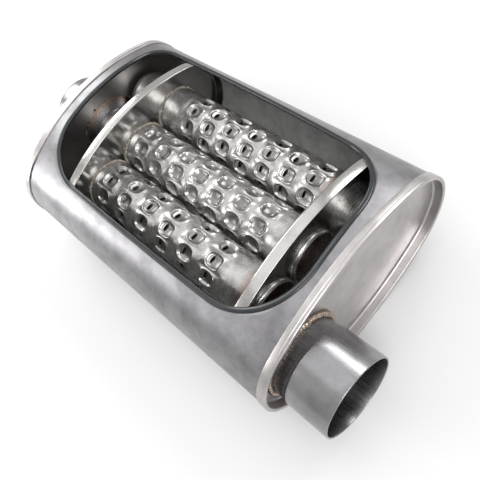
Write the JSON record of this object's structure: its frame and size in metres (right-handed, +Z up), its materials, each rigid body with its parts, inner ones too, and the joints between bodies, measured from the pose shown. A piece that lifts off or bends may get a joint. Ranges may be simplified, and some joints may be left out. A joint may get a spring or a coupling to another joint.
{
  "type": "exhaust muffler",
  "caption": "Oval stainless steel exhaust muffler with a window cut in its top that shows three louvred tubes and two baffles inside.",
  "frame": {"origin": "under the middle of the body, on the surface that the rolled end seams rest on", "axes": "+X along the body towards the outlet, +Y across it away from the outlet pipe, +Z up through the window"},
  "size_m": [0.479, 0.2504, 0.1364],
  "materials": {
    "shell_steel": "satin",
    "cap_steel": "satin",
    "baffle_steel": "semi-bright with heat tint",
    "tube_steel": "satin",
    "pipe_steel": "brushed lengthwise",
    "weld_steel": "as welded, brown heat tint",
    "trim_strip": "glossy"
  },
  "bodies": {
    "root": {"shell": "shell_steel", "shell_seam_weld": "shell_steel", "window_trim": "trim_strip", "inlet_end_cap": "cap_steel", "outlet_end_cap": "cap_steel", "rear_baffle": "baffle_steel", "front_baffle": "baffle_steel", "near_louvred_tube": "tube_steel", "middle_louvred_tube": "tube_steel", "far_louvred_tube": "tube_steel", "inlet_pipe": "pipe_steel", "outlet_pipe": "pipe_steel", "inlet_pipe_weld": "weld_steel", "outlet_pipe_weld": "weld_steel", "near_tube_rear_weld": "weld_steel", "near_tube_front_weld": "weld_steel", "middle_tube_rear_weld": "weld_steel", "middle_tube_front_weld": "weld_steel", "far_tube_rear_weld": "weld_steel", "far_tube_front_weld": "weld_steel"}
  },
  "joints": []
}
